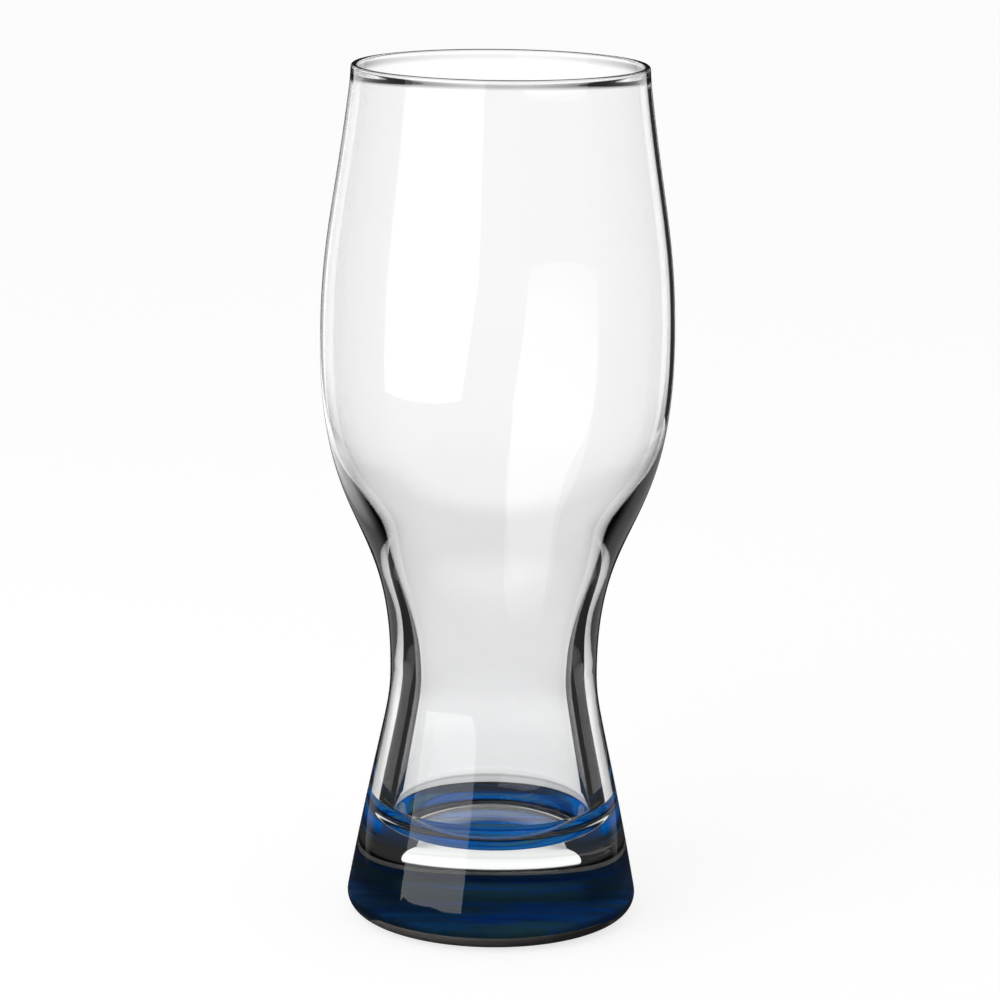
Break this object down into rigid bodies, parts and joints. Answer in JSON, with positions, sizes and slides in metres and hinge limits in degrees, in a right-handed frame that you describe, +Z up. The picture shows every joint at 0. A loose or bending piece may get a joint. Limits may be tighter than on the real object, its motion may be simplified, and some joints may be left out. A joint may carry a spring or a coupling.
{
  "type": "pilsner glass",
  "caption": "Clear heavy-footed beer glass with a full thin-walled bowl, a narrow thick-walled waist and a flared solid foot lacquered blue underneath, for drinking cold beer.",
  "frame": {"origin": "centre of the foot's bearing ring, on the surface that the glass stands on", "axes": "+Z up along the axis that the glass is turned about; X and Y are any two level directions"},
  "size_m": [0.0784, 0.0784, 0.192],
  "materials": {
    "clear_glass": "fire-polished clear soda-lime glass with a faint green-yellow tint where it is thick",
    "blue_lacquer": "streaky brushed translucent blue lacquer"
  },
  "bodies": {
    "root": {"glass_body": "clear_glass", "base_color_coat": "blue_lacquer"}
  },
  "joints": []
}
